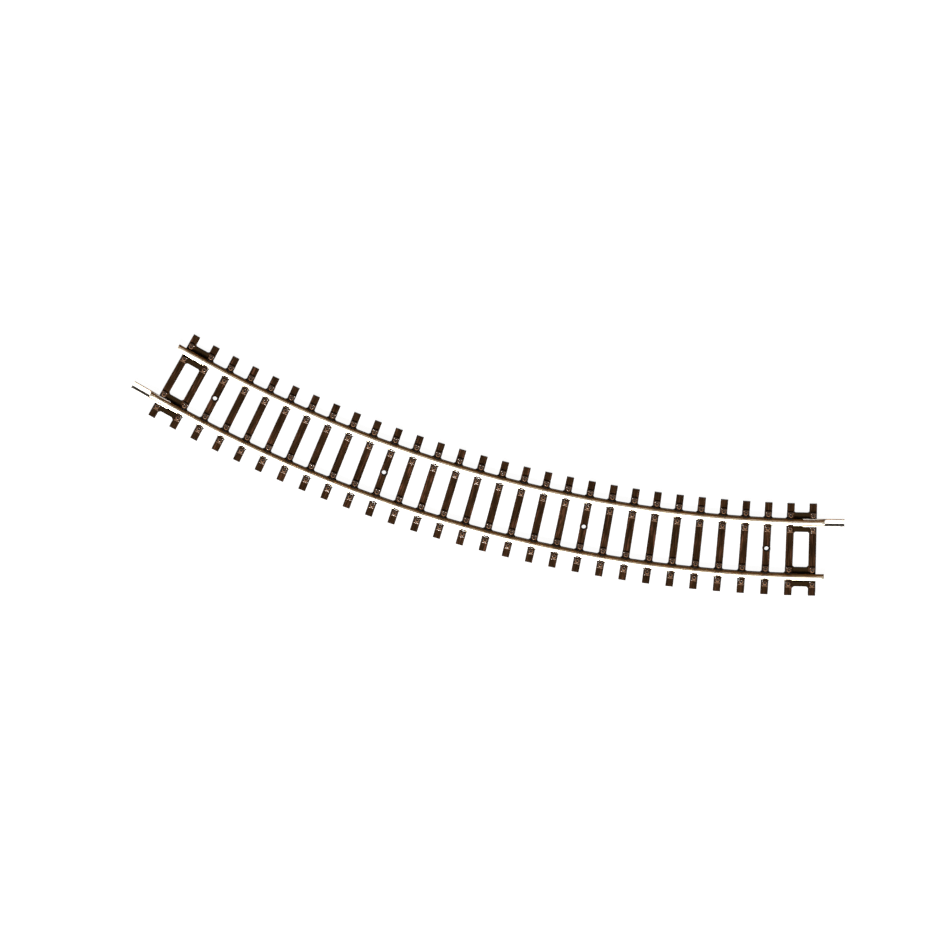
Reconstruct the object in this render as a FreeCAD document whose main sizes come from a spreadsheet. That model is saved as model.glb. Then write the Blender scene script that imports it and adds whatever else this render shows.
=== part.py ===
# Curved H0 track section: 30 degrees of the standard 421.88 mm radius, 16.5 mm gauge, code 100 rail.
#
# Frame: origin on the track's centreline at mid arc, on the plane that the sleepers rest on. +X runs
# along the tangent there, +Y points at the centre of the curve (0, radius), +Z is up.
# The strip and the rails are drawn about the centre of the curve and placed at (0, radius, 0); an angle
# along the track is counted about that centre, 0 at mid arc and positive towards +X.
import FreeCAD, Part
import math
import os
import Sketcher

V, Rot, Pl = FreeCAD.Vector, FreeCAD.Rotation, FreeCAD.Placement

os.makedirs("parts", exist_ok=True)
doc = FreeCAD.newDocument("track_section")

# ---------------------------------------------------------------- driving dimensions (mm, degrees)
dims = doc.addObject("Spreadsheet::Sheet", "dims")
TABLE = [
    # the curve
    ("radius", 421.88, "radius of the track's centreline"),
    ("arc_angle", 30.0, "angle of the section, rail end to rail end"),
    ("rail_offset", 8.8, "centre of each rail from the centreline"),
    # sleeper strip
    ("sleeper_count", 30, "sleepers in the strip"),
    ("sleeper_pitch", 1.0, "angle between sleepers"),
    ("sleeper_length", 29.6, "length of a sleeper"),
    ("sleeper_width", 2.4, "width of a sleeper"),
    ("sleeper_height", 2.0, "height of a sleeper, base to rail seat"),
    ("sleeper_bevel", 0.15, "bevel along a sleeper's top edges"),
    ("web_width", 2.2, "width of the bar under each rail"),
    ("ladder_in", 1.55, "end bars: near edge from the rail's centre"),
    ("ladder_out", 3.05, "end bars: far edge from the rail's centre"),
    ("ladder_top", 1.85, "end bars: top"),
    ("ladder_corner", 0.5, "end bars: corner web where they meet a sleeper"),
    ("groove_floor", 1.62, "rail seat sunk for a joiner in each end sleeper"),
    # chairs and their bolts, distances from the rail's centre
    ("chair_width", 1.86, "width of a chair along the rail"),
    ("chair_lip", 0.72, "tip of the lip that holds the rail's foot"),
    ("chair_lip_top", 2.68, "top of the lip"),
    ("chair_plate", 2.32, "top of the chair's plate"),
    ("chair_step", 1.5, "foot of the lip's outer slope"),
    ("ridge_in", 2.82, "outer ridge, near edge"),
    ("ridge_out", 3.18, "outer ridge, far edge"),
    ("ridge_top", 2.56, "outer ridge, top"),
    ("chair_end", 3.34, "far edge of the chair"),
    ("bolt_at", 2.15, "bolt head's centre"),
    ("bolt_radius", 0.64, "bolt head's radius"),
    ("bolt_hollow", 0.3, "radius of the hollow in the bolt head"),
    ("bolt_top", 2.78, "bolt head's top"),
    ("seat_gap", 0.03, "play between a chair and the rail's foot"),
    # track nail holes
    ("nail_radius", 0.7, "track nail hole's radius"),
    ("nail_far", 12.5, "angle of the outer pair of holes"),
    ("nail_near", 4.5, "angle of the inner pair of holes"),
    ("nail_boss", 1.38, "radius of the boss round each hole"),
    # rail section, heights above the foot's underside
    ("rail_height", 2.5, "height of the rail"),
    ("foot_half", 1.075, "half the foot's width"),
    ("foot_edge", 0.3, "thickness at the foot's edge"),
    ("foot_rise", 0.42, "thickness at the web"),
    ("web_half", 0.28, "half the web's thickness"),
    ("head_under", 1.7, "underside of the head at the web"),
    ("head_side", 1.85, "underside of the head at its side"),
    ("head_half", 0.55, "half the head's width"),
    ("head_crown", 0.14, "bevel of the head's top corners"),
    # joiner, a folded strip round the foot
    ("joiner_length", 13.3, "length of a joiner"),
    ("joiner_grip", 6.9, "length of rail inside it"),
    ("joiner_sheet", 0.2, "sheet thickness"),
    ("joiner_play", 0.04, "play round the foot"),
    ("joiner_lip", 0.78, "edge of its lip from the rail's centre"),
    ("joiner_bend", 0.12, "bevel of its outer folds"),
]
for row, (alias, value, note) in enumerate(TABLE, start=1):
    dims.set("A%d" % row, alias)
    dims.set("B%d" % row, repr(value))
    dims.setAlias("B%d" % row, alias)
    dims.set("C%d" % row, note)
doc.recompute()
val = {alias: float(value) for alias, value, _ in TABLE}


def ex(text):
    """An expression with each word that is an alias read from the sheet."""
    out, word = "", ""
    for ch in text + " ":
        if ch.isalnum() or ch == "_":
            word += ch
            continue
        out += ("dims." + word) if word in val else word
        word = ""
        out += ch
    return out.strip()


def num(text):
    """The same expression's value now, for a sketch's first geometry; angles in degrees."""
    rad = math.pi / 180
    total, names = text.replace("1 deg", "1"), dict(val)
    tokens, word = [], ""
    for ch in total + " ":
        if ch.isalnum() or ch in "_.":
            word += ch
            continue
        if word:
            tokens.append(word)
            word = ""
        if ch.strip():
            tokens.append(ch)
    pos = [0]

    def peek():
        return tokens[pos[0]] if pos[0] < len(tokens) else None

    def take():
        pos[0] += 1
        return tokens[pos[0] - 1]

    def atom():
        tk = take()
        if tk == "-":
            return -atom()
        if tk == "(":
            v = plus()
            take()
            return v
        if tk in ("sin", "cos"):
            take()
            v = plus()
            take()
            return math.sin(v * rad) if tk == "sin" else math.cos(v * rad)
        return names[tk] if tk in names else float(tk)

    def times():
        v = atom()
        while peek() in ("*", "/"):
            v = v * atom() if take() == "*" else v / atom()
        return v

    def plus():
        v = times()
        while peek() in ("+", "-"):
            v = v + times() if take() == "+" else v - times()
        return v

    return plus()


def body(name):
    b = doc.addObject("PartDesign::Body", name)
    b.Label = name
    return b


def plane(b, role):
    return [f for f in b.Origin.OriginFeatures if f.Role == role][0]


def sketch(b, name, role, turn="0", lift="0"):
    """A sketch on one of the body's own planes. turn rotates it about the curve's centre, lift moves it off its plane."""
    sk = b.newObject("Sketcher::SketchObject", name)
    sk.AttachmentSupport = [(plane(b, role), "")]
    sk.MapMode = "FlatFace"
    if role == "XY_Plane":
        sk.AttachmentOffset = Pl(V(0, 0, num(lift)), Rot(V(0, 0, 1), num(turn)))
        sk.setExpression("AttachmentOffset.Base.z", ex(lift))
    else:
        d, a = num(lift), math.radians(num(turn))
        sk.AttachmentOffset = Pl(V(d * math.sin(a), 0, d * math.cos(a)), Rot(V(0, 1, 0), num(turn)))
        sk.setExpression("AttachmentOffset.Base.x", ex("(%s) * sin((%s) * 1 deg)" % (lift, turn)))
        sk.setExpression("AttachmentOffset.Base.z", ex("(%s) * cos((%s) * 1 deg)" % (lift, turn)))
    if turn != "0":
        sk.setExpression("AttachmentOffset.Rotation.Angle", ex("(%s) * 1 deg" % turn))
    return sk


def loop(sk, points):
    """A closed polygon, each corner held by its two distances from the sketch's origin."""
    pts = [(num(x), num(y)) for x, y in points]
    first = sk.GeometryCount
    n = len(pts)
    for i in range(n):
        a, b = pts[i], pts[(i + 1) % n]
        sk.addGeometry(Part.LineSegment(V(a[0], a[1], 0), V(b[0], b[1], 0)), False)
    for i in range(n):
        sk.addConstraint(Sketcher.Constraint("Coincident", first + i, 2, first + (i + 1) % n, 1))
    for i in range(n):
        for kind, value, text in (("DistanceX", pts[i][0], points[i][0]), ("DistanceY", pts[i][1], points[i][1])):
            if abs(value) < 1e-9:
                # on an axis of the sketch
                sk.addConstraint(
                    Sketcher.Constraint("PointOnObject", first + i, 1, -2 if kind == "DistanceX" else -1)
                )
                continue
            c = sk.addConstraint(Sketcher.Constraint(kind, -1, 1, first + i, 1, value))
            sk.setExpression("Constraints[%d]" % c, ex(text))


def box(sk, x0, x1, y0, y1):
    loop(sk, [(x0, y0), (x1, y0), (x1, y1), (x0, y1)])


def circle(sk, x, y, r):
    g = sk.addGeometry(Part.Circle(V(num(x), num(y), 0), V(0, 0, 1), num(r)), False)
    for kind, text in (("DistanceX", x), ("DistanceY", y)):
        if abs(num(text)) < 1e-9:
            sk.addConstraint(Sketcher.Constraint("PointOnObject", g, 3, -2 if kind == "DistanceX" else -1))
            continue
        c = sk.addConstraint(Sketcher.Constraint(kind, -1, 1, g, 3, num(text)))
        sk.setExpression("Constraints[%d]" % c, ex(text))
    c = sk.addConstraint(Sketcher.Constraint("Radius", g, num(r)))
    sk.setExpression("Constraints[%d]" % c, ex(r))


def pad(b, name, sk, length, mid=False, back=False):
    p = b.newObject("PartDesign::Pad", name)
    p.Profile = sk
    p.Length = num(length)
    p.setExpression("Length", ex(length))
    if mid:
        p.Midplane = True
    p.Reversed = back
    sk.Visibility = False
    return p


def cut_check(b, feature, before, label):
    doc.recompute()
    after = b.Shape.Volume
    if not after < before - 1e-6:
        raise RuntimeError("%s cuts nothing: %.4f to %.4f" % (label, before, after))


# ---------------------------------------------------------------- sleeper strip, one moulding
strip = body("sleeper_strip")
START = "-(sleeper_pitch * (sleeper_count - 1) / 2)"

# the first sleeper: a bevelled bar laid along the radius
sk = sketch(strip, "sleeper_section", "XZ_Plane", START, "radius - sleeper_length / 2")
w, t = "sleeper_width / 2", "sleeper_height"
loop(sk, [
    ("-(%s)" % w, "0"), (w, "0"), (w, t + " - sleeper_bevel"), (w + " - sleeper_bevel", t),
    ("-(%s - sleeper_bevel)" % w, t), ("-(%s)" % w, t + " - sleeper_bevel"),
])
sleeper = pad(strip, "sleeper", sk, "sleeper_length")

# its four chairs: a lip over each side of each rail's foot, a plate and an outer ridge
sk = sketch(strip, "chair_section", "YZ_Plane", START)
for rail in ("-(radius - rail_offset)", "-(radius + rail_offset)"):
    for side in ("", "-"):
        def at(text):
            return "%s + %s(%s)" % (rail, side, text) if side == "" else "%s - (%s)" % (rail, text)
        seat = "sleeper_height"
        loop(sk, [
            (at("foot_half + seat_gap"), seat + " - 0.1"),
            (at("foot_half + seat_gap"), seat + " + foot_edge + seat_gap"),
            (at("chair_lip"), seat + " + foot_edge + seat_gap + 0.08"),
            (at("chair_lip"), "chair_lip_top - 0.12"),
            (at("chair_lip + 0.14"), "chair_lip_top"),
            (at("foot_half + 0.1"), "chair_lip_top"),
            (at("chair_step"), "chair_plate"),
            (at("ridge_in"), "chair_plate"),
            (at("ridge_in + 0.08"), "ridge_top"),
            (at("ridge_out - 0.08"), "ridge_top"),
            (at("chair_end"), seat + " + 0.12"),
            (at("chair_end"), seat + " - 0.1"),
        ])
chairs = pad(strip, "chairs", sk, "chair_width", mid=True)

# a bolt head on each chair, hollow down to the plate
sk = sketch(strip, "bolt_circles", "XY_Plane", START, "sleeper_height - 0.1")
for rail in ("-(radius - rail_offset)", "-(radius + rail_offset)"):
    for side in ("+", "-"):
        circle(sk, "0", "%s %s bolt_at" % (rail, side), "bolt_radius")
        circle(sk, "0", "%s %s bolt_at" % (rail, side), "bolt_hollow")
bolts = pad(strip, "bolt_heads", sk, "bolt_top - sleeper_height + 0.1")

doc.recompute()
fan = strip.newObject("PartDesign::PolarPattern", "sleeper_fan")
fan.Originals = [sleeper, chairs, bolts]
fan.Axis = (plane(strip, "Z_Axis"), [""])
fan.Angle = num("sleeper_pitch * (sleeper_count - 1)")
fan.setExpression("Angle", ex("sleeper_pitch * (sleeper_count - 1)") + " * 1 deg")
fan.Occurrences = int(val["sleeper_count"])
fan.setExpression("Occurrences", "dims.sleeper_count")
strip.Tip = fan
doc.recompute()

# a bar under each rail, from the second sleeper to the last but one
sk = sketch(strip, "bar_section", "YZ_Plane")
for rail in ("-(radius - rail_offset)", "-(radius + rail_offset)"):
    box(sk, rail + " - web_width / 2", rail + " + web_width / 2", "0", "sleeper_height")
bars = strip.newObject("PartDesign::Revolution", "rail_bars")
bars.Profile = sk
bars.ReferenceAxis = (plane(strip, "Z_Axis"), [""])
bars.Angle = num("sleeper_pitch * (sleeper_count - 3)")
bars.setExpression("Angle", ex("sleeper_pitch * (sleeper_count - 3)") + " * 1 deg")
bars.Midplane = True
strip.Tip = bars
doc.recompute()

# the last two sleepers at each end are held by wider bars, sunk down the middle for a joiner
for name, turn in (("left", "-(sleeper_pitch * (sleeper_count - 2) / 2)"), ("right", "sleeper_pitch * (sleeper_count - 2) / 2")):
    sk = sketch(strip, name + "_ladder_plan", "XY_Plane", turn)
    for rail in ("-(radius - rail_offset)", "-(radius + rail_offset)"):
        near, far = rail + " - ladder_out", rail + " + ladder_out"
        loop(sk, [
            ("-3.3", near + " - ladder_corner"), ("-2.45", near + " - ladder_corner"),
            ("-(2.45 - ladder_corner)", near), ("2.45 - ladder_corner", near),
            ("2.45", near + " - ladder_corner"), ("3.3", near + " - ladder_corner"),
            ("3.3", far + " + ladder_corner"), ("2.45", far + " + ladder_corner"),
            ("2.45 - ladder_corner", far), ("-(2.45 - ladder_corner)", far),
            ("-2.45", far + " + ladder_corner"), ("-3.3", far + " + ladder_corner"),
        ])
    p = pad(strip, name + "_ladder", sk, "ladder_top")
    strip.Tip = p
doc.recompute()

# a boss round each track nail hole, as tall as the sleeper
sk = sketch(strip, "boss_circles", "XY_Plane")
for angle in ("-nail_far", "-nail_near", "nail_near", "nail_far"):
    circle(sk, "radius * sin((%s) * 1 deg)" % angle, "-(radius * cos((%s) * 1 deg))" % angle, "nail_boss")
bosses = pad(strip, "nail_bosses", sk, "sleeper_height")
strip.Tip = bosses
doc.recompute()

# the end sleepers' seats and those bars are sunk, and the end chairs cut back, to clear the joiners
for name, turn, x0, x1 in (("left", START, "-2", "6.1"), ("right", "sleeper_pitch * (sleeper_count - 1) / 2", "-6.1", "2")):
    sk = sketch(strip, name + "_seat_plan", "XY_Plane", turn, "groove_floor")
    for rail in ("-(radius - rail_offset)", "-(radius + rail_offset)"):
        box(sk, x0, x1, rail + " - ladder_in", rail + " + ladder_in")
    before = strip.Shape.Volume
    c = strip.newObject("PartDesign::Pocket", name + "_seats")
    c.Profile = sk
    c.Length = 3
    c.Reversed = True
    strip.Tip = c
    cut_check(strip, c, before, name + "_seats")

# track nail holes, through four sleepers on the centreline
sk = sketch(strip, "nail_circles", "XY_Plane", "0", "0")
for angle in ("-nail_far", "-nail_near", "nail_near", "nail_far"):
    circle(sk, "radius * sin((%s) * 1 deg)" % angle, "-(radius * cos((%s) * 1 deg))" % angle, "nail_radius")
before = strip.Shape.Volume
c = strip.newObject("PartDesign::Pocket", "nail_holes")
c.Profile = sk
c.Length = 5
c.Reversed = True
strip.Tip = c
cut_check(strip, c, before, "nail_holes")

# ---------------------------------------------------------------- the two rails
rails = []
for name, rail in (("inner_rail", "-(radius - rail_offset)"), ("outer_rail", "-(radius + rail_offset)")):
    b = body(name)
    sk = sketch(b, name + "_section", "YZ_Plane")
    half = [
        ("foot_half", "0"), ("foot_half", "foot_edge"), ("web_half", "foot_rise"), ("web_half", "head_under"),
        ("head_half", "head_side"), ("head_half", "rail_height - head_crown"),
        ("head_half - head_crown", "rail_height"),
    ]
    pts = [("%s + %s" % (rail, x), "sleeper_height + %s" % y) for x, y in half]
    pts += [("%s - (%s)" % (rail, x), "sleeper_height + %s" % y) for x, y in reversed(half)]
    loop(sk, pts)
    r = b.newObject("PartDesign::Revolution", name + "_arc")
    r.Profile = sk
    r.ReferenceAxis = (plane(b, "Z_Axis"), [""])
    r.Angle = val["arc_angle"]
    r.setExpression("Angle", "dims.arc_angle * 1 deg")
    r.Midplane = True
    b.Tip = r
    rails.append(b)

for b in [strip] + rails:
    b.Placement = Pl(V(0, val["radius"], 0), Rot())
    b.setExpression("Placement.Base.y", "dims.radius")

# ---------------------------------------------------------------- the two joiners
# Each is drawn about the rail's centre with x along the rail, outwards from the track, and x = 0 at the
# middle of the length of rail inside it, where its axis is tangent to the rail.
joiners = []
for name, side, rail in (("left_joiner", -1, "radius + rail_offset"), ("right_joiner", 1, "radius - rail_offset")):
    b = body(name)
    sk = sketch(b, name + "_section", "YZ_Plane", "0", "-(joiner_grip / 2)")
    seat = "sleeper_height"
    inside, outside = "foot_half + joiner_play", "foot_half + joiner_play + joiner_sheet"
    low, under = seat + " - joiner_play - joiner_sheet", seat + " - joiner_play"
    over, top = seat + " + foot_rise + joiner_play", seat + " + foot_rise + joiner_play + joiner_sheet"
    loop(sk, [
        ("-(%s - joiner_bend)" % outside, low), ("%s - joiner_bend" % outside, low),
        (outside, low + " + joiner_bend"), (outside, top + " - joiner_bend"),
        ("%s - joiner_bend" % outside, top), ("joiner_lip", top), ("joiner_lip", over),
        (inside, over), (inside, under), ("-(%s)" % inside, under), ("-(%s)" % inside, over),
        ("-joiner_lip", over), ("-joiner_lip", top), ("-(%s - joiner_bend)" % outside, top),
        ("-(%s)" % outside, top + " - joiner_bend"), ("-(%s)" % outside, low + " + joiner_bend"),
    ])
    p = pad(b, name + "_sheet", sk, "joiner_length")
    b.Tip = p
    # angle at which its axis touches the rail
    touch = "(arc_angle / 2 - joiner_grip / 2 / (%s) * 180 / 3.14159265358979)" % rail
    a = math.radians(num(touch))
    r = num(rail)
    turn = num(touch) if side > 0 else 180 - num(touch)
    b.Placement = Pl(V(side * r * math.sin(a), val["radius"] - r * math.cos(a), 0), Rot(V(0, 0, 1), turn))
    b.setExpression("Placement.Base.x", ("" if side > 0 else "-1 * ") + ex("(%s) * sin(%s * 1 deg)" % (rail, touch)))
    b.setExpression("Placement.Base.y", ex("radius - (%s) * cos(%s * 1 deg)" % (rail, touch)))
    b.setExpression("Placement.Rotation.Angle", ex("(%s) * 1 deg" % (touch if side > 0 else "180 - " + touch)))
    joiners.append(b)

doc.recompute()

# ---------------------------------------------------------------- checks, then one STEP file per piece
for o in doc.Objects:
    if "Invalid" in o.State or "Error" in o.State:
        raise RuntimeError("%s is %s" % (o.Name, o.State))
pieces = [strip] + rails + joiners
for b in pieces:
    if b.Shape.isNull() or not b.Shape.isValid() or len(b.Shape.Solids) != 1:
        raise RuntimeError("%s: %d solids, valid %s" % (b.Label, len(b.Shape.Solids), b.Shape.isValid()))
for b in pieces:
    b.Shape.exportStep("parts/%s.step" % b.Label)
    bb = b.Shape.BoundBox
    print("%-14s %9.3f mm3  x %8.3f %8.3f  y %8.3f %8.3f  z %6.3f %6.3f" % (
        b.Label, b.Shape.Volume, bb.XMin, bb.XMax, bb.YMin, bb.YMax, bb.ZMin, bb.ZMax))
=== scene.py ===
import bpy
import math
import numpy as np
from mathutils import Matrix, Vector, noise


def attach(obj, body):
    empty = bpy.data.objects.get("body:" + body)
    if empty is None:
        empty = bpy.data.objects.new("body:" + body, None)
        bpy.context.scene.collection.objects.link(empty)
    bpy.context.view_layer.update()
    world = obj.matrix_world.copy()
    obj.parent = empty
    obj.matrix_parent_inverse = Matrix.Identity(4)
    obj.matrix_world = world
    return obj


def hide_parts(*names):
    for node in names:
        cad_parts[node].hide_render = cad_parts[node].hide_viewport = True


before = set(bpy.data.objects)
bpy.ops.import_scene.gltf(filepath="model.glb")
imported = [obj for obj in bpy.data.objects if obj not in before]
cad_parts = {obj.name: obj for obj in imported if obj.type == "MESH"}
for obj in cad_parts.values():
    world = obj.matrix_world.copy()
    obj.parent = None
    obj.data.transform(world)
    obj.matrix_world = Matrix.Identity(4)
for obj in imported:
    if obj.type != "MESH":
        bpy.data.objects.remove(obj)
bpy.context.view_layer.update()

# ------------------------------------------------------------------ the design's own sizes, mm
R = 421.88                      # centreline radius
RAIL = 8.8                      # rail centre from the centreline
COUNT, PITCH = 30, 1.0          # sleepers, degrees apart
S_LEN, S_WID, S_TOP = 29.6, 2.4, 2.0
LADDER_IN, LADDER_OUT, LADDER_TOP, SEAT_FLOOR = 1.55, 3.05, 1.85, 1.62
NAILS = (-12.5, -4.5, 4.5, 12.5)
BAR = 1.1                       # half the width of the bar under a rail
MM = 0.001


def rad(d):
    return d * math.pi / 180


def on_arc(y, theta, x=0.0, z=0.0):
    """Row-frame point, mm: theta along the arc, y outwards from the centreline, x along the tangent."""
    c, s = math.cos(theta), math.sin(theta)
    return ((R + y) * s + x * c, R - (R + y) * c + x * s, z)


# ------------------------------------------------------------------ mesh helpers (all in mm until placed)
def new_object(name, verts, faces):
    me = bpy.data.meshes.new(name)
    me.from_pydata([tuple(map(float, v)) for v in verts], [], faces)
    me.validate()
    me.update()
    ob = bpy.data.objects.new(name, me)
    bpy.context.scene.collection.objects.link(ob)
    return ob


class Shell:
    """Vertices and faces gathered from many closed shapes."""

    def __init__(self):
        self.v, self.f = [], []

    def add(self, verts, faces):
        n = len(self.v)
        self.v.extend(verts)
        self.f.extend([tuple(i + n for i in f) for f in faces])


def tube(sections, closed_caps=True):
    """A closed skin over a row of equal-length section loops, each counter-clockwise seen from the row's far end."""
    n = len(sections[0])
    verts = [p for s in sections for p in s]
    faces = []
    for k in range(len(sections) - 1):
        for i in range(n):
            j = (i + 1) % n
            a, b = k * n, (k + 1) * n
            faces.append((a + i, a + j, b + j, b + i))
    faces.append(tuple(reversed(range(n))))
    faces.append(tuple((len(sections) - 1) * n + i for i in range(n)))
    return verts, faces


def boolean(a, b, op):
    m = a.modifiers.new("cut", "BOOLEAN")
    m.operation = op
    m.solver = "MANIFOLD"
    m.object = b
    dg = bpy.context.evaluated_depsgraph_get()
    me = bpy.data.meshes.new_from_object(a.evaluated_get(dg))
    a.modifiers.clear()
    old = a.data
    a.data = me
    bpy.data.meshes.remove(old)
    bdata = b.data
    bpy.data.objects.remove(b)
    bpy.data.meshes.remove(bdata)
    return a


def finish_mesh(ob, angle=32):
    me = ob.data
    me.transform(Matrix.Scale(MM, 4))
    me.shade_smooth()
    me.set_sharp_from_angle(angle=rad(angle))
    me.update()


def fix_normals(ob):
    import bmesh
    bm = bmesh.new()
    bm.from_mesh(ob.data)
    bmesh.ops.recalc_face_normals(bm, faces=bm.faces)
    bm.to_mesh(ob.data)
    bm.free()


# ------------------------------------------------------------------ sleepers with a timber grain
def fbm(x, y, z):
    return noise.noise(Vector((x, y, z)))


def grain_dip(x, y, k):
    """How far the sleeper's top lies under its highest point at (x, y), mm: long streaks, fine fibres and a few splits."""
    a = 0.5 - 0.5 * fbm(x * 1.7 + k * 3.1, y * 0.13 + k * 5.7, k * 1.37)
    b = 0.5 - 0.5 * fbm(x * 5.2 + k * 1.3, y * 0.30 - k * 2.9, k * 2.11 + 40.0)
    c = abs(fbm(x * 2.3 - k * 4.3, y * 0.075 + k * 7.9, k * 0.77 + 90.0))
    split = max(0.0, 1.0 - c / 0.055) * (1.0 if fbm(y * 0.2 + k, k * 3.3, 7.7) > -0.15 else 0.25)
    return 0.055 * a * a + 0.045 * b + 0.11 * split


def sleeper(k, theta):
    half_w, half_l = S_WID / 2, S_LEN / 2
    across = np.linspace(-half_w + 0.13, half_w - 0.13, 17)
    n_len = 125
    ys = np.linspace(-half_l, half_l, n_len)
    loops = []
    for q, y in enumerate(ys):
        # the ends are slightly rough and eased
        end = min(y + half_l, half_l - y)
        ease = 0.05 * max(0.0, 1.0 - end / 0.25)
        yy = y
        left = 0.045 * (0.5 + 0.5 * fbm(y * 0.9, k * 2.3, 11.0)) + 0.05 * max(0.0, fbm(y * 2.7, k * 4.1, 17.0))
        right = 0.045 * (0.5 + 0.5 * fbm(y * 0.9, k * 3.7, 23.0)) + 0.05 * max(0.0, fbm(y * 2.7, k * 5.3, 29.0))
        xl, xr = -half_w + left, half_w - right
        loop = [(xl + 0.0, 0.0), (xl, 1.0), (xl + 0.01, S_TOP - 0.2 - ease), (xl + 0.045, S_TOP - 0.085 - ease)]
        top = []
        for x in across:
            xx = min(max(x, xl + 0.1), xr - 0.1)
            top.append((xx, S_TOP - ease - grain_dip(x, y, k) - 0.012))
        loop += top
        loop += [(xr - 0.045, S_TOP - 0.085 - ease), (xr - 0.01, S_TOP - 0.2 - ease), (xr, 1.0), (xr, 0.0)]
        # the end faces are a little uneven
        out = []
        for (x, z) in loop:
            dy = 0.0
            if q in (0, n_len - 1):
                dy = 0.06 * (0.5 + 0.5 * fbm(x * 1.9, z * 1.9, k * 1.9 + (3.0 if q else 9.0)))
                dy = dy if q == 0 else -dy
            out.append(on_arc(yy + dy, theta, x, z))
        loops.append(out)
    return tube(loops)


def angles():
    return [rad((i - (COUNT - 1) / 2) * PITCH) for i in range(COUNT)]


ANGLES = angles()
shell = Shell()
for k, th in enumerate(ANGLES):
    shell.add(*sleeper(k, th))
strip = new_object("sleeper_strip_moulding", shell.v, shell.f)
fix_normals(strip)

# bosses round the nail holes
shell = Shell()
for a in NAILS:
    prof = [(1.30, 0.0), (1.30, 1.86), (1.22, 1.94), (1.10, 1.955)]
    loops = []
    for r, z in prof:
        loops.append([on_arc(r * math.sin(t), rad(a), r * math.cos(t), z) for t in np.linspace(0, 2 * math.pi, 40, endpoint=False)])
    shell.add(*tube(loops))
ob = new_object("bosses", shell.v, shell.f)
fix_normals(ob)
boolean(strip, ob, "UNION")

# the bar under each rail, flared where it meets a sleeper, and the sunk bars between the end sleepers
shell = Shell()


def bar_half(dist):
    """Half the bar's width at dist from the nearest sleeper's side."""
    t = max(0.0, 1.0 - dist / 0.6)
    return BAR + 0.42 * t * t


for side in (-1, 1):
    rail = side * RAIL
    r = R + rail
    loops = []
    for k in range(1, COUNT - 1):
        th = ANGLES[k]
        if k == COUNT - 2:
            marks = [0.0]
        else:
            pitch_mm = r * rad(PITCH)
            hw = S_WID / 2
            marks = [0.0, hw - 0.05, hw + 0.08, hw + 0.18, hw + 0.3, hw + 0.42, hw + 0.56, pitch_mm / 2,
                     pitch_mm - hw - 0.56, pitch_mm - hw - 0.42, pitch_mm - hw - 0.3, pitch_mm - hw - 0.18,
                     pitch_mm - hw - 0.08, pitch_mm - hw + 0.05]
        for mk in marks:
            t2 = th + mk / r
            near = min(abs(mk - S_WID / 2), abs(r * rad(PITCH) - S_WID / 2 - mk)) if mk > S_WID / 2 - 0.04 else 0.0
            if S_WID / 2 - 0.04 < mk < r * rad(PITCH) - S_WID / 2 + 0.04:
                h = bar_half(near)
            else:
                h = bar_half(0.0)
            loops.append([on_arc(rail + y, t2, 0, z) for y, z in
                          ((-h, 0.0), (-h, 1.82), (-h + 0.07, 1.9), (h - 0.07, 1.9), (h, 1.82), (h, 0.0))])
    shell.add(*tube(loops))
for mid in (-(COUNT - 2) / 2 * PITCH, (COUNT - 2) / 2 * PITCH):
    for side in (-1, 1):
        rail = side * RAIL
        loops = []
        for x in (-3.3, -2.5, -2.4, -2.25, -2.05, -1.8, 0, 1.8, 2.05, 2.25, 2.4, 2.5, 3.3):
            t = max(0.0, 1.0 - (2.5 - abs(x)) / 0.7)
            o = LADDER_OUT + 0.5 * min(1.0, t) ** 2
            loops.append([on_arc(rail + y, rad(mid), x, z) for y, z in
                          ((-o, 0.0), (-o, LADDER_TOP - 0.08), (-o + 0.08, LADDER_TOP), (o - 0.08, LADDER_TOP), (o, LADDER_TOP - 0.08), (o, 0.0))])
        shell.add(*tube(loops))
ob = new_object("bars", shell.v, shell.f)
fix_normals(ob)
boolean(strip, ob, "UNION")

# rail seats on the sleepers: flat pads that the foot rests on
shell = Shell()
for k, th in enumerate(ANGLES):
    for side in (-1, 1):
        loops = []
        for x in (-1.08, -1.02, 1.02, 1.08):
            d = 0.06 if abs(x) > 1.05 else 0.0
            loops.append([on_arc(side * RAIL + y, th, x, z) for y, z in
                          ((-1.25, 1.7), (-1.25, S_TOP - 0.02 - d), (1.25, S_TOP - 0.02 - d), (1.25, 1.7))])
        shell.add(*tube(loops))
ob = new_object("seats", shell.v, shell.f)
fix_normals(ob)
boolean(strip, ob, "UNION")

# chairs: a round-tipped lip over the rail's foot, a plate, and an outer ridge
def chair_section(tip):
    """The chair's outline in (u, z), u away from the rail's centre; tip is where its lip ends."""
    return [(1.12, 1.6), (1.12, 2.34), (tip + 0.025, 2.40), (tip, 2.47), (tip + 0.02, 2.56), (tip + 0.08, 2.625),
            (tip + 0.2, 2.655), (1.25, 2.62), (1.42, 2.52), (1.56, 2.39), (1.66, 2.34), (2.60, 2.32), (2.64, 2.40),
            (2.68, 2.475), (2.74, 2.515), (2.82, 2.538), (2.91, 2.551), (3.00, 2.555), (3.09, 2.551), (3.18, 2.538),
            (3.26, 2.515), (3.31, 2.46), (3.335, 2.34), (3.34, 2.05), (3.34, 1.6)]


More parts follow.
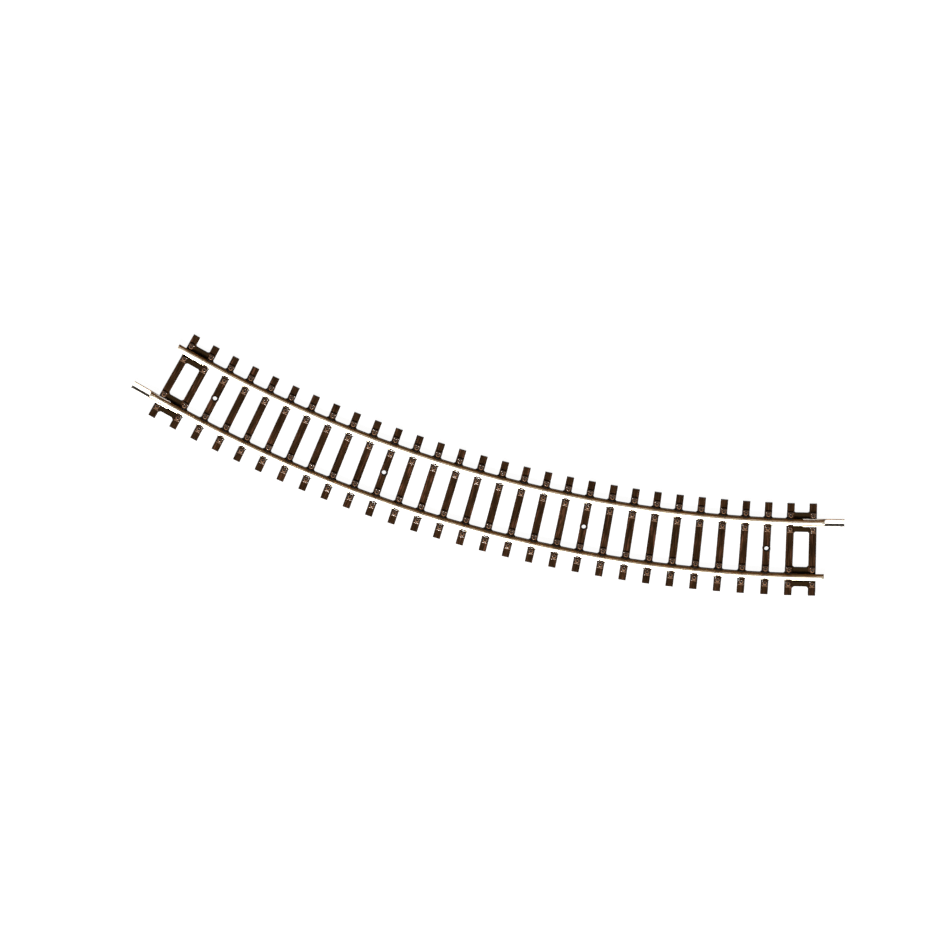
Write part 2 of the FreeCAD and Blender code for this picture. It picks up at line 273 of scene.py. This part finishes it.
shell = Shell()
for k, th in enumerate(ANGLES):
    for side in (-1, 1):
        for s in (-1, 1):
            loops = []
            for x, d in ((-0.93, 0.16), (-0.90, 0.07), (-0.85, 0.025), (-0.78, 0.0), (-0.55, 0.0), (-0.28, 0.0), (0.0, 0.0),
                         (0.28, 0.0), (0.55, 0.0), (0.78, 0.0), (0.85, 0.025), (0.90, 0.07), (0.93, 0.16)):
                tip = 0.73 + 0.26 * (x / 0.93) ** 2
                loops.append([on_arc(side * RAIL + s * u, th, x, max(z - d, 2.0) if z > 2.05 else z) for u, z in chair_section(tip)])
            shell.add(*tube(loops))
ob = new_object("chairs", shell.v, shell.f)
fix_normals(ob)
boolean(strip, ob, "UNION")

# bolt heads: a round head with a sunk middle
shell = Shell()
seg = 28
BOLT = [(0.74, 2.2), (0.735, 2.45), (0.715, 2.56), (0.66, 2.66), (0.58, 2.735), (0.49, 2.77), (0.41, 2.775), (0.34, 2.74),
        (0.29, 2.66), (0.26, 2.54), (0.22, 2.47)]
for k, th in enumerate(ANGLES):
    for side in (-1, 1):
        for s in (-1, 1):
            loops = []
            for r, z in BOLT:
                loops.append([on_arc(side * RAIL + s * 2.2 + r * math.sin(t), th, r * math.cos(t), z)
                              for t in np.linspace(0, 2 * math.pi, seg, endpoint=False)])
            shell.add(*tube(loops))
ob = new_object("bolts", shell.v, shell.f)
fix_normals(ob)
boolean(strip, ob, "UNION")

# sunk seats for the joiners, and the nail holes
shell = Shell()
for end in (-1, 1):
    for side in (-1, 1):
        th = ANGLES[0] if end < 0 else ANGLES[-1]
        loops = []
        xs = (-2.2, 6.1) if end < 0 else (-6.1, 2.2)
        for x in xs:
            loops.append([on_arc(side * RAIL + y, th, x, z) for y, z in
                          ((-LADDER_IN, SEAT_FLOOR), (-LADDER_IN, 3.4), (LADDER_IN, 3.4), (LADDER_IN, SEAT_FLOOR))])
        shell.add(*tube(loops))
for a in NAILS:
    loops = []
    for r, z in ((0.70, -0.5), (0.70, 1.80), (0.76, 1.90), (0.9, 2.02), (0.95, 2.4)):
        loops.append([on_arc(r * math.sin(t), rad(a), r * math.cos(t), z) for t in np.linspace(0, 2 * math.pi, 40, endpoint=False)])
    shell.add(*tube(loops))
ob = new_object("cuts", shell.v, shell.f)
fix_normals(ob)
boolean(strip, ob, "DIFFERENCE")

# ------------------------------------------------------------------ coordinates for the moulding's grain
def tag_strip(ob):
    me = ob.data
    n = len(me.vertices)
    co = np.empty(n * 3)
    me.vertices.foreach_get("co", co)
    co = co.reshape(-1, 3)
    th = np.arctan2(co[:, 0], R - co[:, 1])
    r = np.hypot(co[:, 0], R - co[:, 1])
    deg = np.degrees(th)
    k = np.clip(np.rint(deg / PITCH + (COUNT - 1) / 2), 0, COUNT - 1)
    dth = th - np.radians((k - (COUNT - 1) / 2) * PITCH)
    x = r * np.sin(dth)
    y = r * np.cos(dth) - R
    grain = np.stack([x + k * 3.7, y + k * 41.0, co[:, 2]], 1).astype(np.float32)
    a = me.attributes.new("grain", "FLOAT_VECTOR", "POINT")
    a.data.foreach_set("vector", grain.ravel())
    # 0 on timber, 1 on the smooth bars between sleepers and on the chairs
    u = np.abs(np.abs(y) - RAIL)
    smooth = ((np.abs(x) > S_WID / 2 + 0.03) & (u < 4.2)).astype(np.float32)
    chair = ((co[:, 2] > 2.03) & (u < 3.8)).astype(np.float32)
    a = me.attributes.new("smooth_part", "FLOAT", "POINT")
    a.data.foreach_set("value", smooth)
    a = me.attributes.new("chair_part", "FLOAT", "POINT")
    a.data.foreach_set("value", chair)
    # painted shade in the rim of each nail hole and in the troughs beside the rails
    rim = np.zeros(n)
    for deg_nail in NAILS:
        px, py, _ = on_arc(0.0, rad(deg_nail))
        d = np.hypot(co[:, 0] - px, co[:, 1] - py)
        rim = np.maximum(rim, np.clip((1.12 - d) / 0.12, 0, 1))
    sunk = ((u < 1.62) & (co[:, 2] < 1.70) & (np.abs(deg) > 13.2)).astype(np.float64)
    a = me.attributes.new("recess_shade", "FLOAT", "POINT")
    a.data.foreach_set("value", np.maximum(rim, sunk).astype(np.float32))
    # 1 on the raised edges, the bolt head's rim and the ridge: rubbed lighter, and weighted towards faces turned
    # outward from the curve, towards the key lamp: wear and painted highlight
    from_bolt = np.hypot(x, u - 2.2)
    ring = np.clip((co[:, 2] - 2.60) / 0.10, 0, 1) * (from_bolt < 0.68)
    dark = np.clip((0.37 - from_bolt) / 0.04, 0, 1)
    ridge = np.clip((co[:, 2] - 2.30) / 0.10, 0, 1) * (u > 2.66) * (u < 3.36)
    nor = np.empty(n * 3)
    me.vertices.foreach_get("normal", nor)
    nor = nor.reshape(-1, 3)
    outward = nor[:, 0] * np.sin(th) - nor[:, 1] * np.cos(th)
    a = me.attributes.new("rubbed_and_lit", "FLOAT", "POINT")
    a.data.foreach_set("value", (np.maximum(ring * np.clip(0.45 + 0.9 * outward, 0, 1), ridge * np.clip(0.02 + 1.6 * outward, 0, 1))
                               * (1 - dark)).astype(np.float32))
    # painted shade: marks the bolt head's sunk middle, which is made near black
    a = me.attributes.new("bolt_pit_shade", "FLOAT", "POINT")
    a.data.foreach_set("value", (dark * (co[:, 2] > 2.4)).astype(np.float32))

    # the chairs are smoother and glossier than the timber: their own material
    m = len(me.polygons)
    cen = np.empty(m * 3)
    me.polygons.foreach_get("center", cen)
    cen = cen.reshape(-1, 3)
    th = np.arctan2(cen[:, 0], R - cen[:, 1])
    r = np.hypot(cen[:, 0], R - cen[:, 1])
    k = np.clip(np.rint(np.degrees(th) / PITCH + (COUNT - 1) / 2), 0, COUNT - 1)
    dth = th - np.radians((k - (COUNT - 1) / 2) * PITCH)
    x, y = r * np.sin(dth), r * np.cos(dth) - R
    u = np.abs(np.abs(y) - RAIL)
    gloss = (cen[:, 2] > 2.02) & (u < 3.6)
    return gloss.astype(np.int32)


gloss_faces = tag_strip(strip)
finish_mesh(strip, 34)

# ------------------------------------------------------------------ rails
def rounded(points, radii, seg=4):
    """A polygon with its corners rounded."""
    out = []
    n = len(points)
    for i in range(n):
        p, a, b = np.array(points[i]), np.array(points[i - 1]), np.array(points[(i + 1) % n])
        r = radii[i]
        if r <= 0:
            out.append(tuple(p))
            continue
        da, db = (a - p), (b - p)
        la, lb = np.linalg.norm(da), np.linalg.norm(db)
        da, db = da / la, db / lb
        half = math.acos(max(-1, min(1, float(da @ db)))) / 2
        cut = min(r / math.tan(half), 0.45 * la, 0.45 * lb)
        s, e = p + da * cut, p + db * cut
        for q in range(seg + 1):
            t = q / seg
            m = (1 - t) ** 2 * s + 2 * t * (1 - t) * p + t * t * e
            out.append(tuple(m))
    return out


half = [(1.07, 0.0, 0.05), (1.07, 0.30, 0.10), (0.30, 0.42, 0.34), (0.28, 1.70, 0.14), (0.55, 1.86, 0.06), (0.55, 2.26, 0.10),
        (0.46, 2.42, 0.16), (0.20, 2.5, 0.5)]
pts = [(x, z) for x, z, _ in half] + [(-x, z) for x, z, _ in reversed(half)]
rr = [q for _, _, q in half] + [q for _, _, q in reversed(half)]
RAIL_SECTION = rounded(pts, rr, 4)


def rail(name, side):
    r = R + side * RAIL
    n = 361
    loops, tags = [], []
    for q in range(n):
        th = rad(-15 + 30 * q / (n - 1))
        # a filed edge at each end
        inset = 0.045 if q in (0, n - 1) else 0.0
        loop = []
        for u, z in RAIL_SECTION:
            uu = u - math.copysign(min(abs(u), inset), u)
            zz = z - inset if z > 1.2 else z + (inset * 0.3 if z < 0.1 else 0)
            loop.append(on_arc(side * RAIL + uu, th, 0, S_TOP + zz))
            tags.append((u, r * th, z))
        loops.append(loop)
    # the filed edge is short
    for q, nq in ((0, 1), (n - 1, n - 2)):
        th = rad(-15 if q == 0 else 15) + (0.06 / r) * (1 if q == 0 else -1)
        loops[nq] = [on_arc(side * RAIL + u, th, 0, S_TOP + z) for u, z in RAIL_SECTION]
    v, f = tube(loops)
    ob = new_object(name, v, f)
    fix_normals(ob)
    a = ob.data.attributes.new("along", "FLOAT_VECTOR", "POINT")
    a.data.foreach_set("vector", np.array(tags, np.float32).ravel())
    finish_mesh(ob, 40)
    return ob


inner = rail("inner_rail_drawn", -1)
outer = rail("outer_rail_drawn", 1)

# ------------------------------------------------------------------ joiners
GRIP, J_LEN, SHEET, PLAY = 6.9, 13.3, 0.2, 0.04
J_IN, J_LIP = 1.075 + PLAY, 0.78
J_UNDER, J_OVER = S_TOP - PLAY, S_TOP + 0.42 + PLAY


def joiner_section(flare=0.0):
    """The folded sheet's outline in (y, z), its lips curled over the foot. flare opens the mouth a little."""
    o = J_IN + SHEET
    low, top = J_UNDER - SHEET, J_OVER + SHEET
    tip = J_LIP + 0.04 + flare
    half = [(o - 0.0, low, 0.26), (o, top, 0.30), (tip, top - 0.075, 0.05), (tip + 0.03, J_OVER - 0.06 + 0.02, 0.04),
            (J_IN, J_OVER, 0.10), (J_IN, J_UNDER, 0.05)]
    right_pts = [(y, z) for y, z, _ in half]
    rr = [r for _, _, r in half]
    pts = right_pts + [(-y, z) for y, z in reversed(right_pts)]
    return rounded(pts, rr + rr[::-1], 5)


def joiner(name, side, rail_r):
    touch = rad(15) - GRIP / 2 / rail_r
    base = Vector((side * rail_r * math.sin(touch), R - rail_r * math.cos(touch), 0))
    d = Vector((side * math.cos(touch), math.sin(touch), 0))
    w = Vector((-d.y, d.x, 0))
    x0, x1 = -GRIP / 2, J_LEN - GRIP / 2
    xs = [x0, x0 + 0.05, x0 + 0.12, x0 + 0.5]
    xs += list(np.linspace(x0 + 1.0, x1 - 1.0, 14))
    xs += [x1 - 0.6, x1 - 0.45, x1 - 0.3, x1 - 0.15, x1 - 0.06, x1]
    loops, tags = [], []
    for x in xs:
        end = min(x - x0, x1 - x)
        open_by = 0.16 * max(0.0, 1 - end / 0.45)
        trim = 0.03 * max(0.0, 1 - end / 0.06)
        loop = []
        sec = joiner_section(open_by)
        cy, cz = 0.0, (J_UNDER + J_OVER) / 2
        for y, z in sec:
            yy = y - math.copysign(min(trim, abs(y)), y) if abs(y) > 1.2 else y
            p = base + d * x + w * yy
            loop.append((p.x, p.y, z))
            tags.append((x, y * side, z))
        loops.append(loop)
    v, f = tube(loops)
    ob = new_object(name, v, f)
    fix_normals(ob)
    a = ob.data.attributes.new("along", "FLOAT_VECTOR", "POINT")
    a.data.foreach_set("vector", np.array(tags, np.float32).ravel())
    finish_mesh(ob, 38)
    return ob


left = joiner("left_joiner_sheet", -1, R + RAIL)
right = joiner("right_joiner_sheet", 1, R - RAIL)

# ------------------------------------------------------------------ materials
def nodes_of(name):
    m = bpy.data.materials.new(name)
    m.use_nodes = True
    nt = m.node_tree
    nt.nodes.clear()
    out = nt.nodes.new("ShaderNodeOutputMaterial")
    b = nt.nodes.new("ShaderNodeBsdfPrincipled")
    nt.links.new(b.outputs["BSDF"], out.inputs["Surface"])
    return m, nt, b


def node(nt, kind, **props):
    n = nt.nodes.new(kind)
    for k, v in props.items():
        if k in n.inputs.keys():
            n.inputs[k].default_value = v
        else:
            setattr(n, k, v)
    return n


def ramp(nt, fac, stops):
    r = nt.nodes.new("ShaderNodeValToRGB")
    cr = r.color_ramp
    while len(cr.elements) > 1:
        cr.elements.remove(cr.elements[-1])
    for i, (p, c) in enumerate(stops):
        e = cr.elements[0] if i == 0 else cr.elements.new(p)
        e.position = p
        e.color = (c[0], c[1], c[2], 1) if isinstance(c, (tuple, list)) else (c, c, c, 1)
    nt.links.new(fac, r.inputs["Fac"])
    return r.outputs["Color"]


def stretched(nt, attribute, scale, detail, noise_scale, rough=0.5, distortion=0.0):
    a = nt.nodes.new("ShaderNodeAttribute")
    a.attribute_name = attribute
    mp = nt.nodes.new("ShaderNodeMapping")
    mp.inputs["Scale"].default_value = scale
    nt.links.new(a.outputs["Vector"], mp.inputs["Vector"])
    n = nt.nodes.new("ShaderNodeTexNoise")
    n.inputs["Scale"].default_value = noise_scale
    n.inputs["Detail"].default_value = detail
    n.inputs["Roughness"].default_value = rough
    n.inputs["Distortion"].default_value = distortion
    nt.links.new(mp.outputs["Vector"], n.inputs["Vector"])
    return n.outputs["Fac"]


def mix(nt, fac, a, b, kind="MIX"):
    m = nt.nodes.new("ShaderNodeMix")
    m.data_type = "RGBA"
    m.blend_type = kind
    for sock, val in ((m.inputs[0], fac), (m.inputs[6], a), (m.inputs[7], b)):
        if isinstance(val, (int, float)):
            sock.default_value = val
        elif isinstance(val, tuple):
            sock.default_value = (*val, 1)
        else:
            nt.links.new(val, sock)
    return m.outputs[2]


# moulded sleeper plastic: the timber, and the smoother chairs and bars
def plastic(name, chair):
    m, nt, b = nodes_of(name)
    streak = stretched(nt, "grain", (2.1, 0.16, 0.6), 4.0, 1.0, 0.55, 0.4)
    fibre = stretched(nt, "grain", (8.5, 0.45, 1.2), 3.0, 1.0, 0.6)
    patch = stretched(nt, "grain", (0.35, 0.22, 0.3), 2.0, 1.0, 0.5)
    if chair:
        a = nt.nodes.new("ShaderNodeAttribute")
        a.attribute_name = "chair_part"
        bar = mix(nt, streak, (0.008, 0.0050, 0.0014), (0.022, 0.0120, 0.0040))
        col = mix(nt, a.outputs["Fac"], bar, mix(nt, fibre, (0.0120, 0.0058, 0.0022), (0.0270, 0.0120, 0.0048)))
        # rubbed rims and ridges, lighter where they face the key lamp: wear and painted highlight
        a = nt.nodes.new("ShaderNodeAttribute")
        a.attribute_name = "rubbed_and_lit"
        col = mix(nt, a.outputs["Fac"], col, mix(nt, patch, (0.11, 0.056, 0.028), (0.36, 0.190, 0.105)))
        # painted shade in the bolt heads' sunk middles
        a = nt.nodes.new("ShaderNodeAttribute")
        a.attribute_name = "bolt_pit_shade"
        col = mix(nt, a.outputs["Fac"], col, (0.0016, 0.0009, 0.0005))
        b.inputs["Specular IOR Level"].default_value = 0.22
        lo, hi, fine = 0.17, 0.11, 0.00001
    else:
        col = ramp(nt, streak, [(0.30, (0.0090, 0.0040, 0.0012)), (0.45, (0.0190, 0.0085, 0.0030)),
                                (0.57, (0.0275, 0.0122, 0.0045)), (0.66, (0.0760, 0.0300, 0.0160))])
        col = mix(nt, 1.0, col, ramp(nt, fibre, [(0.30, 0.55), (0.52, 1.0), (0.72, 1.6)]), "MULTIPLY")
        col = mix(nt, 1.0, col, ramp(nt, patch, [(0.32, 0.78), (0.68, 1.24)]), "MULTIPLY")
        a = nt.nodes.new("ShaderNodeAttribute")
        a.attribute_name = "smooth_part"
        col = mix(nt, a.outputs["Fac"], col, mix(nt, streak, (0.010, 0.0060, 0.0018), (0.024, 0.0125, 0.0042)))
        # painted shade: the nail holes' rims and the sunk seats are made near black
        a = nt.nodes.new("ShaderNodeAttribute")
        a.attribute_name = "recess_shade"
        col = mix(nt, a.outputs["Fac"], col, mix(nt, fibre, (0.0016, 0.0010, 0.0005), (0.0050, 0.0030, 0.0014)))
        b.inputs["Specular IOR Level"].default_value = 0.012
        lo, hi, fine = 0.55, 0.42, 0.00004
    nt.links.new(col, b.inputs["Base Color"])
    nt.links.new(ramp(nt, fibre, [(0.3, lo), (0.7, hi)]), b.inputs["Roughness"])
    bump = nt.nodes.new("ShaderNodeBump")
    bump.inputs["Strength"].default_value = 0.35
    bump.inputs["Distance"].default_value = fine
    nt.links.new(fibre, bump.inputs["Height"])
    nt.links.new(bump.outputs["Normal"], b.inputs["Normal"])
    return m


m_strip = plastic("sleeper_plastic_timber", False)
m_chair = plastic("sleeper_plastic_smooth", True)


def metal(name, colour, dull, rough_lo, rough_hi, streaks):
    m, nt, b = nodes_of(name)
    b.inputs["Metallic"].default_value = 1.0
    lines = stretched(nt, "along", streaks, 3.0, 1.0, 0.6)
    blot = stretched(nt, "along", (0.5, 0.16, 0.5) if streaks[1] < streaks[0] else (0.16, 0.5, 0.5), 3.0, 1.0, 0.55)
    col = mix(nt, ramp(nt, blot, [(0.35, 0.0), (0.72, 1.0)]), colour, dull)
    tone = ramp(nt, lines, [(0.30, 0.90), (0.70, 1.06)])
    col = mix(nt, 1.0, col, tone, "MULTIPLY")
    nt.links.new(col, b.inputs["Base Color"])
    nt.links.new(ramp(nt, lines, [(0.3, rough_lo), (0.7, rough_hi)]), b.inputs["Roughness"])
    bump = nt.nodes.new("ShaderNodeBump")
    bump.inputs["Strength"].default_value = 0.25
    bump.inputs["Distance"].default_value = 0.00001
    nt.links.new(lines, bump.inputs["Height"])
    nt.links.new(bump.outputs["Normal"], b.inputs["Normal"])
    return m, nt, b, col


m_rail, nt, b, col = metal("rail_nickel_silver", (0.88, 0.82, 0.70), (0.80, 0.72, 0.58), 0.36, 0.46, (9.0, 0.12, 9.0))
# the web and the foot are duller and browner than the polished head (tarnish); on top of that, the foot on the side
# towards the key lamp is made pale as a painted highlight, and the web and the far foot keep the brown as painted
# shade
at = nt.nodes.new("ShaderNodeAttribute"); at.attribute_name = "along"
sep = nt.nodes.new("ShaderNodeSeparateXYZ")
nt.links.new(at.outputs["Vector"], sep.inputs["Vector"])
low = nt.nodes.new("ShaderNodeMapRange")
low.inputs["From Min"].default_value = 2.42
low.inputs["From Max"].default_value = 2.2
nt.links.new(sep.outputs["Z"], low.inputs["Value"])
# painted highlight: pale on the foot's side towards the key lamp
key_side_pale = nt.nodes.new("ShaderNodeMapRange")
key_side_pale.inputs["From Min"].default_value = 0.45
key_side_pale.inputs["From Max"].default_value = 0.75
nt.links.new(sep.outputs["X"], key_side_pale.inputs["Value"])
tarnish_and_side_light = mix(nt, low.outputs["Result"], (1.0, 1.0, 1.0), mix(nt, key_side_pale.outputs["Result"],
              mix(nt, ramp(nt, stretched(nt, "along", (1.5, 0.8, 1.5), 4.0, 1.0, 0.6), [(0.38, 0.0), (0.62, 1.0)]),
                  (0.94, 0.56, 0.25), (0.80, 0.62, 0.40)), (0.96, 0.95, 0.82)))
col2 = mix(nt, 1.0, col, tarnish_and_side_light, "MULTIPLY")
# painted shade: a dark line along the foot's edge on the inside of the curve, the side turned away from the key lamp
edge = nt.nodes.new("ShaderNodeMapRange")
edge.inputs["From Min"].default_value = -0.42
edge.inputs["From Max"].default_value = -0.80
nt.links.new(sep.outputs["X"], edge.inputs["Value"])
foot = nt.nodes.new("ShaderNodeMapRange")
foot.inputs["From Min"].default_value = 0.62
foot.inputs["From Max"].default_value = 0.50
nt.links.new(sep.outputs["Z"], foot.inputs["Value"])
both = node(nt, "ShaderNodeMath", operation="MULTIPLY")
nt.links.new(edge.outputs["Result"], both.inputs[0])
nt.links.new(foot.outputs["Result"], both.inputs[1])
col2 = mix(nt, 1.0, col2, mix(nt, both.outputs["Value"], (1.0, 1.0, 1.0), (0.26, 0.21, 0.15)), "MULTIPLY")
nt.links.new(col2, b.inputs["Base Color"])

m_join, nt, b, col = metal("joiner_bright_sheet", (0.92, 0.90, 0.87), (0.80, 0.76, 0.71), 0.32, 0.42, (0.12, 7.0, 7.0))
# painted shade: the inside faces of the folds are made dull and near black
at = nt.nodes.new("ShaderNodeAttribute"); at.attribute_name = "along"
sep = nt.nodes.new("ShaderNodeSeparateXYZ")
nt.links.new(at.outputs["Vector"], sep.inputs["Vector"])
side = node(nt, "ShaderNodeMath", operation="ABSOLUTE")
nt.links.new(sep.outputs["Y"], side.inputs[0])
fold_inside_shade = nt.nodes.new("ShaderNodeMapRange")
fold_inside_shade.inputs["From Min"].default_value = 1.14
fold_inside_shade.inputs["From Max"].default_value = 1.11
nt.links.new(side.outputs["Value"], fold_inside_shade.inputs["Value"])
over = nt.nodes.new("ShaderNodeMapRange")
over.inputs["From Min"].default_value = 2.0
over.inputs["From Max"].default_value = 2.03
nt.links.new(sep.outputs["Z"], over.inputs["Value"])
under = nt.nodes.new("ShaderNodeMapRange")
under.inputs["From Min"].default_value = 2.50
under.inputs["From Max"].default_value = 2.46
nt.links.new(sep.outputs["Z"], under.inputs["Value"])
m1 = node(nt, "ShaderNodeMath", operation="MULTIPLY")
nt.links.new(fold_inside_shade.outputs["Result"], m1.inputs[0])
nt.links.new(over.outputs["Result"], m1.inputs[1])
m2 = node(nt, "ShaderNodeMath", operation="MULTIPLY")
nt.links.new(m1.outputs["Value"], m2.inputs[0])
nt.links.new(under.outputs["Result"], m2.inputs[1])
col = mix(nt, m2.outputs["Value"], col, (0.05, 0.04, 0.03))
# painted shadow: a dark band along the floor of the slot, beside the outer fold, where the lip's shadow falls
recess_shade = nt.nodes.new("ShaderNodeMapRange")
recess_shade.inputs["From Min"].default_value = -0.12
recess_shade.inputs["From Max"].default_value = -0.24
nt.links.new(sep.outputs["Y"], recess_shade.inputs["Value"])
above = nt.nodes.new("ShaderNodeMapRange")
above.inputs["From Min"].default_value = 1.86
above.inputs["From Max"].default_value = 1.92
nt.links.new(sep.outputs["Z"], above.inputs["Value"])
m3 = node(nt, "ShaderNodeMath", operation="MULTIPLY")
nt.links.new(recess_shade.outputs["Result"], m3.inputs[0])
nt.links.new(above.outputs["Result"], m3.inputs[1])
m4 = node(nt, "ShaderNodeMath", operation="MULTIPLY")
nt.links.new(m3.outputs["Value"], m4.inputs[0])
nt.links.new(under.outputs["Result"], m4.inputs[1])
col = mix(nt, m4.outputs["Value"], col, (0.035, 0.030, 0.025))
# painted shade: the far lip is made browner, more so towards the free end, on the fold turned away from the key lamp
far = nt.nodes.new("ShaderNodeMapRange")
far.inputs["From Min"].default_value = 0.70
far.inputs["From Max"].default_value = 0.80
nt.links.new(sep.outputs["Y"], far.inputs["Value"])
free = nt.nodes.new("ShaderNodeMapRange")
free.inputs["From Min"].default_value = 0.0
free.inputs["From Max"].default_value = 3.0
nt.links.new(sep.outputs["X"], free.inputs["Value"])
m5 = node(nt, "ShaderNodeMath", operation="MULTIPLY")
nt.links.new(far.outputs["Result"], m5.inputs[0])
nt.links.new(free.outputs["Result"], m5.inputs[1])
col = mix(nt, m5.outputs["Value"], col, (0.30, 0.22, 0.16))
nt.links.new(col, b.inputs["Base Color"])

for ob, mat, body, node_name, slot in (
    (strip, m_strip, "track", "sleeper_strip", "sleeper_plastic"),
    (inner, m_rail, "track", "inner_rail", "rail_metal"),
    (outer, m_rail, "track", "outer_rail", "rail_metal"),
    (left, m_join, "left_joiner", "left_joiner", "joiner_metal"),
    (right, m_join, "right_joiner", "right_joiner", "joiner_metal"),
):
    ob.data.materials.clear()
    ob.data.materials.append(mat)
    if ob is strip:
        ob.data.materials.append(m_chair)
        ob.data.polygons.foreach_set("material_index", gloss_faces)
    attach(ob, body)
    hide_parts(node_name)

# ------------------------------------------------------------------ floor, lights, camera
floor = new_object("floor", [(-1.6, -1.6, 0), (1.6, -1.6, 0), (1.6, 1.6, 0), (-1.6, 1.6, 0)], [(0, 1, 2, 3)])
floor.location.z = -0.00002
m, nt, b = nodes_of("floor_pale")
b.inputs["Base Color"].default_value = (0.16, 0.16, 0.16, 1)
b.inputs["Roughness"].default_value = 0.9
b.inputs["Specular IOR Level"].default_value = 0.1
b.inputs["Emission Color"].default_value = (1, 1, 1, 1)
b.inputs["Emission Strength"].default_value = 0.94
floor.data.materials.append(m)

world = bpy.data.worlds.new("studio")
world.use_nodes = True
bg = world.node_tree.nodes["Background"]
bg.inputs["Color"].default_value = (1.0, 0.98, 0.95, 1)
bg.inputs["Strength"].default_value = 0.05
bpy.context.scene.world = world

ROLL = rad(15.31)
UP = Vector((-math.sin(ROLL), math.cos(ROLL), 0))
RIGHT = Vector((math.cos(ROLL), math.sin(ROLL), 0))
ZED = Vector((0, 0, 1))


def area(name, direction, dist, size, power, colour=(1, 1, 1)):
    li = bpy.data.lights.new(name, "AREA")
    li.shape = "DISK"
    li.size = size
    li.energy = power
    li.color = colour
    ob = bpy.data.objects.new(name, li)
    bpy.context.scene.collection.objects.link(ob)
    d = Vector(direction).normalized()
    ob.location = d * dist
    ob.rotation_euler = d.to_track_quat("Z", "Y").to_euler()
    return ob


def lean(elevation, azimuth):
    """A direction: azimuth 0 towards the picture's foot, 90 towards its right, at an elevation over the floor."""
    e, a = rad(elevation), rad(azimuth)
    return (-UP * math.cos(a) + RIGHT * math.sin(a)) * math.cos(e) + ZED * math.sin(e)


area("key", lean(58, -16), 1.7, 0.26, 49, (1.0, 0.985, 0.95))
area("top", lean(83, 0), 1.7, 0.8, 3.5, (1.0, 0.99, 0.96))
area("fill_far", lean(48, 180), 1.8, 1.5, 1.5, (1.0, 0.62, 0.33))
area("fill_left", lean(35, 270), 1.8, 0.7, 3.0, (1.0, 0.97, 0.92))
area("fill_right", lean(35, 90), 1.8, 0.7, 3.0, (0.95, 0.98, 1.0))

F_PX, DIST, CX, CY = 6000.0, 1.9185, 482.8, 502.95
tilt = rad(7.0)
back = (UP * math.sin(tilt) + Vector((0, 0, math.cos(tilt)))).normalized()
fwd = -back
right_v = fwd.cross(UP).normalized()
down = fwd.cross(right_v).normalized()
cam = bpy.data.cameras.new("camera")
cam.sensor_width = 36.0
cam.lens = F_PX / 942 * 36.0
cam.clip_start = 0.05
cam.clip_end = 20
cam_ob = bpy.data.objects.new("camera", cam)
bpy.context.scene.collection.objects.link(cam_ob)
pos = -(right_v * ((CX - 471) / F_PX * DIST) + down * ((CY - 471) / F_PX * DIST) + fwd * DIST)
rot = Matrix((right_v, -down, back)).transposed().to_4x4()
cam_ob.matrix_world = Matrix.Translation(pos) @ rot
bpy.context.scene.camera = cam_ob

bpy.context.scene.view_settings.view_transform = "Standard"
bpy.context.scene.view_settings.look = "None"
